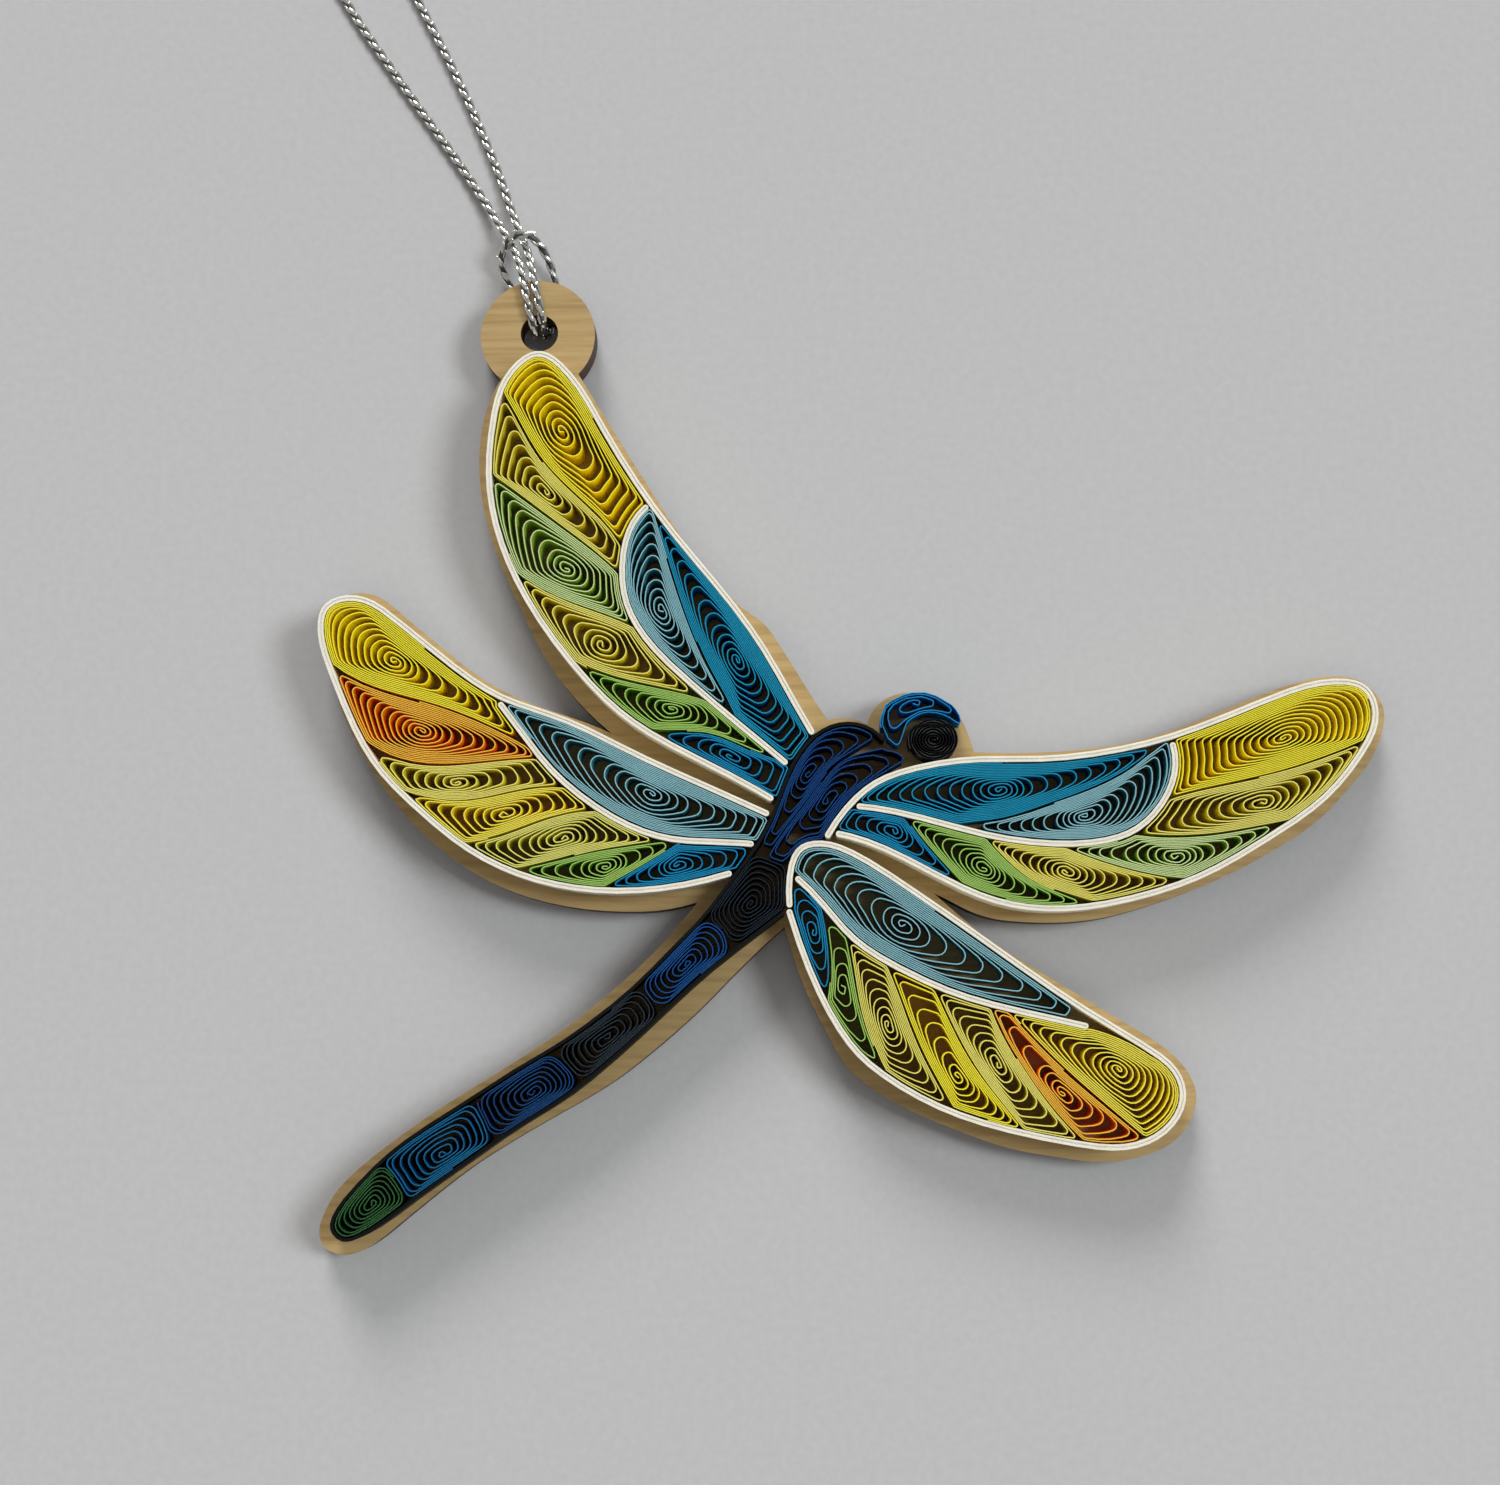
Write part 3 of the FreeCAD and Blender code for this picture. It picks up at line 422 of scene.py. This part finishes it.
def times(tree, socket, factor):
    """A socket's value times a plain number."""
    node = add(tree, "ShaderNodeMath", operation="MULTIPLY")
    tree.links.new(socket, node.inputs[0])
    node.inputs[1].default_value = factor
    return node.outputs[0]


# A stitch's half sizes as shares of the cord's diameter and of the pitch, and its place and slant.
STITCH_DEEP = 0.2
STITCH_WIDE = 0.27
STITCH_LONG = 0.42
STITCH_OUT = 0.29
STITCH_LEAN = 0.2
CORE_SHARE = 0.33         # the inner tube's radius as a share of the cord's diameter


def stitch(tree, source, turn, lean, ahead):
    """One drop of thread: turned round the cord, leaning to one side and set ahead along it."""
    diameter, pitch = source.outputs["Diameter"], source.outputs["Pitch"]
    ball = add(tree, "GeometryNodeMeshUVSphere")
    ball.inputs["Segments"].default_value = 10
    ball.inputs["Rings"].default_value = 7
    ball.inputs["Radius"].default_value = 1.0
    size = add(tree, "ShaderNodeCombineXYZ")
    tree.links.new(times(tree, diameter, STITCH_DEEP), size.inputs["X"])
    tree.links.new(times(tree, diameter, STITCH_WIDE), size.inputs["Y"])
    tree.links.new(times(tree, pitch, STITCH_LONG), size.inputs["Z"])
    shaped = add(tree, "GeometryNodeTransform")
    tree.links.new(ball.outputs["Mesh"], shaped.inputs["Geometry"])
    tree.links.new(size.outputs[0], shaped.inputs["Scale"])
    leaned = add(tree, "GeometryNodeTransform")
    tree.links.new(shaped.outputs[0], leaned.inputs["Geometry"])
    leaned.inputs["Rotation"].default_value = (lean, 0.0, 0.0)
    place = add(tree, "ShaderNodeCombineXYZ")
    tree.links.new(times(tree, diameter, STITCH_OUT), place.inputs["X"])
    tree.links.new(times(tree, pitch, ahead), place.inputs["Z"])
    moved = add(tree, "GeometryNodeTransform")
    tree.links.new(leaned.outputs[0], moved.inputs["Geometry"])
    tree.links.new(place.outputs[0], moved.inputs["Translation"])
    turned = add(tree, "GeometryNodeTransform")
    tree.links.new(moved.outputs[0], turned.inputs["Geometry"])
    turned.inputs["Rotation"].default_value = (0.0, 0.0, turn)
    return turned.outputs[0]


def knitted_tree(thread, core):
    """Stitches of thread along a curve, round a thin core."""
    tree = bpy.data.node_groups.new("knitted cord", "GeometryNodeTree")
    tree.interface.new_socket(name="Geometry", in_out="INPUT", socket_type="NodeSocketGeometry")
    names = {name: number_input(tree, name) for name in ("Diameter", "Pitch")}
    tree.interface.new_socket(name="Geometry", in_out="OUTPUT", socket_type="NodeSocketGeometry")
    source = add(tree, "NodeGroupInput")
    sink = add(tree, "NodeGroupOutput")
    points = add(tree, "GeometryNodeCurveToPoints", mode="LENGTH")
    tree.links.new(source.outputs["Geometry"], points.inputs["Curve"])
    tree.links.new(source.outputs["Pitch"], points.inputs["Length"])
    drops = add(tree, "GeometryNodeJoinGeometry")
    for side in range(4):
        drop = stitch(tree, source, side * math.pi / 2, STITCH_LEAN, 0.5 * (side % 2))
        tree.links.new(drop, drops.inputs[0])
    spots = add(tree, "GeometryNodeInstanceOnPoints")
    tree.links.new(points.outputs["Points"], spots.inputs["Points"])
    tree.links.new(drops.outputs[0], spots.inputs["Instance"])
    tree.links.new(points.outputs["Rotation"], spots.inputs["Rotation"])
    real = add(tree, "GeometryNodeRealizeInstances")
    tree.links.new(spots.outputs[0], real.inputs[0])
    silver = add(tree, "GeometryNodeSetMaterial")
    tree.links.new(real.outputs[0], silver.inputs["Geometry"])
    silver.inputs["Material"].default_value = thread
    ring = add(tree, "GeometryNodeCurvePrimitiveCircle")
    ring.inputs["Resolution"].default_value = 10
    tree.links.new(times(tree, source.outputs["Diameter"], CORE_SHARE), ring.inputs["Radius"])
    tube = add(tree, "GeometryNodeCurveToMesh")
    tree.links.new(source.outputs["Geometry"], tube.inputs["Curve"])
    tree.links.new(ring.outputs[0], tube.inputs["Profile Curve"])
    tube.inputs["Fill Caps"].default_value = True
    inner = add(tree, "GeometryNodeSetMaterial")
    tree.links.new(tube.outputs[0], inner.inputs["Geometry"])
    inner.inputs["Material"].default_value = core
    both = add(tree, "GeometryNodeJoinGeometry")
    tree.links.new(silver.outputs[0], both.inputs[0])
    tree.links.new(inner.outputs[0], both.inputs[0])
    tree.links.new(both.outputs[0], sink.inputs[0])
    return tree, names


def baked(obj, name):
    """The object's evaluated mesh as a plain piece; the object itself goes."""
    depsgraph = bpy.context.evaluated_depsgraph_get()
    mesh = bpy.data.meshes.new_from_object(obj.evaluated_get(depsgraph))
    piece = bpy.data.objects.new(name, mesh)
    bpy.context.scene.collection.objects.link(piece)
    bpy.data.objects.remove(obj)
    return piece


def line_points(obj):
    """Points along a curve object's evaluated spline."""
    depsgraph = bpy.context.evaluated_depsgraph_get()
    mesh = bpy.data.meshes.new_from_object(obj.evaluated_get(depsgraph))
    points = [tuple(v.co) for v in mesh.vertices]
    bpy.data.meshes.remove(mesh)
    return points


class QUILL_OT_cord(bpy.types.Operator):
    """Knit the hanging cord along its route"""
    bl_idname = "quill.cord"
    bl_label = "Hanging Cord"

    def execute(self, context):
        settings = context.scene.quill_cord
        thread = cord_material(settings)
        core, _, shader = new_material("cord_core", "silver_cord")
        shader.inputs["Base Color"].default_value = (*srgb(84, 84, 80), 1.0)
        shader.inputs["Metallic"].default_value = 0.6
        shader.inputs["Roughness"].default_value = 0.45
        route = route_curve()
        path = line_points(route)
        group, names = knitted_tree(thread, core)
        modifier = route.modifiers.new("knit", "NODES")
        modifier.node_group = group
        modifier[names["Diameter"]] = settings.diameter
        modifier[names["Pitch"]] = settings.pitch
        piece = baked(route, "knitted_cord")
        for vertex in piece.data.vertices:
            vertex.co.z = max(vertex.co.z, LOWEST_THREAD)
        bpy.data.node_groups.remove(group)
        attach(piece, "root")
        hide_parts("hanging_cord")
        dress(frame["nodes"]["cord_knot"], thread)
        return {"FINISHED"}


def sun_light(name, place, spread, strength, colour):
    """A light far off in the direction of place, spread in degrees, as a window gives."""
    data = bpy.data.lights.new(name, "SUN")
    data.angle = math.radians(spread)
    data.energy = strength
    data.color = colour
    obj = bpy.data.objects.new(name, data)
    bpy.context.scene.collection.objects.link(obj)
    obj.location = place
    obj.rotation_euler = (-Vector(place)).to_track_quat("-Z", "Y").to_euler()
    return obj


def floor_material(settings):
    """White paper with a faint tooth, for the floor."""
    mat, tree, shader = new_material("floor_paper", "floor")
    coords = add(tree, "ShaderNodeTexCoord")
    noise = add(tree, "ShaderNodeTexNoise")
    tree.links.new(coords.outputs["Object"], noise.inputs["Vector"])
    noise.inputs["Scale"].default_value = 1400.0
    noise.inputs["Detail"].default_value = 4.0
    colour = mix_colour(tree, ramp(tree, noise.outputs["Fac"], 0.3, 0.7), tuple(settings.floor),
                        tuple(c * 0.94 for c in settings.floor))
    tree.links.new(colour, shader.inputs["Base Color"])
    shader.inputs["Roughness"].default_value = 0.85
    shader.inputs["Specular IOR Level"].default_value = 0.2
    return mat


# The camera as the photograph was taken: place in metres, then the directions it looks and holds up.
CAMERA_AT = (-0.003896, -0.026977, 0.1955)
CAMERA_LOOK = (-0.02798, 0.14258, -0.98939)
CAMERA_UP = (0.00403, 0.98978, 0.14252)
SENSOR_WIDTH = 36.0       # in millimetres
FOCAL_PIXELS = 2100.0     # the lens's length in pixels of the photograph
PHOTO_WIDTH = 1500.0      # in pixels
# The two tips on the floor, and how far the flat ornament is tipped about them: the cord under the tab
# lifts it by 0.98 mm at 83.6 mm from the line through the tips.
RESTS = (Vector((-0.0462, -0.0457, 0.0)), Vector((0.0235, -0.0372, 0.0)))
TIPPED_BY = math.asin(0.98 / 83.6)


def rest_matrix():
    """The turn that lays the flat ornament on its two tips and its cord."""
    turn = Matrix.Rotation(TIPPED_BY, 4, RESTS[1] - RESTS[0])
    return Matrix.Translation(SHIFT + RESTS[0]) @ turn @ Matrix.Translation(-RESTS[0])


class QUILL_OT_stage(bpy.types.Operator):
    """Lay out the floor, the light and the camera"""
    bl_idname = "quill.stage"
    bl_label = "Stage"

    def execute(self, context):
        scene = context.scene
        settings = scene.quill_stage
        mesh = bpy.data.meshes.new("floor")
        corners = ((-1, -1), (1, -1), (1, 1), (-1, 1))
        mesh.from_pydata([(x * FLOOR_HALF, y * FLOOR_HALF, 0) for x, y in corners], [], [(0, 1, 2, 3)])
        floor = bpy.data.objects.new("floor", mesh)
        scene.collection.objects.link(floor)
        mesh.materials.append(floor_material(settings))
        key = sun_light("key", (0.55, 0.08, 0.6), 20, settings.key_light, (0.93, 0.98, 1.0))
        fill = sun_light("fill", (-0.1, 0.56, 0.3), 24, settings.fill_light, (1.0, 0.99, 0.98))
        world = bpy.data.worlds.new("sky")
        world.use_nodes = True
        world.node_tree.nodes["Background"].inputs["Color"].default_value = (1.0, 0.965, 0.92, 1.0)
        world.node_tree.nodes["Background"].inputs["Strength"].default_value = settings.sky
        scene.world = world
        data = bpy.data.cameras.new("camera")
        data.sensor_fit = "HORIZONTAL"
        data.sensor_width = SENSOR_WIDTH
        data.lens = SENSOR_WIDTH * FOCAL_PIXELS / PHOTO_WIDTH
        data.clip_start = 0.01
        data.dof.use_dof = False
        camera = bpy.data.objects.new("camera", data)
        scene.collection.objects.link(camera)
        look = Vector(CAMERA_LOOK).normalized()
        up = Vector(CAMERA_UP).normalized()
        right = look.cross(up).normalized()
        up = right.cross(look)
        turn = Matrix((right, up, -look)).transposed().to_4x4()
        camera.matrix_world = rest_matrix() @ Matrix.Translation(Vector(CAMERA_AT)) @ turn
        scene.camera = camera
        scene.view_settings.view_transform = "Standard"
        return {"FINISHED"}


class QUILL_PT_panel(bpy.types.Panel):
    bl_idname = "QUILL_PT_panel"
    bl_label = "Quilled Ornament"
    bl_space_type = "VIEW_3D"
    bl_region_type = "UI"
    bl_category = "Quilling"

    def draw(self, context):
        for name, idnames in (("quill_board", ("quill.board",)),
                              ("quill_paper", ("quill.paper", "quill.glue")),
                              ("quill_cord", ("quill.cord",)), ("quill_stage", ("quill.stage",))):
            box = self.layout.box()
            group = getattr(context.scene, name)
            for field in type(group).__annotations__:
                box.prop(group, field)
            for idname in idnames:
                box.operator(idname)


GROUPS = {"quill_board": BoardSettings, "quill_paper": PaperSettings, "quill_cord": CordSettings,
          "quill_stage": StageSettings}
CLASSES = (PaperSettings, BoardSettings, CordSettings, StageSettings, QUILL_OT_board, QUILL_OT_paper,
           QUILL_OT_glue, QUILL_OT_cord, QUILL_OT_stage, QUILL_PT_panel)


def register():
    for cls in CLASSES:
        bpy.utils.register_class(cls)
    for name, group in GROUPS.items():
        setattr(bpy.types.Scene, name, bpy.props.PointerProperty(type=group))


def unregister():
    for name in GROUPS:
        delattr(bpy.types.Scene, name)
    for cls in reversed(CLASSES):
        bpy.utils.unregister_class(cls)


def main():
    register()
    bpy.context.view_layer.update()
    bpy.ops.quill.board()
    bpy.ops.quill.paper()
    bpy.ops.quill.glue()
    bpy.ops.quill.cord()
    bpy.ops.quill.stage()


if __name__ == "__main__":
    main()
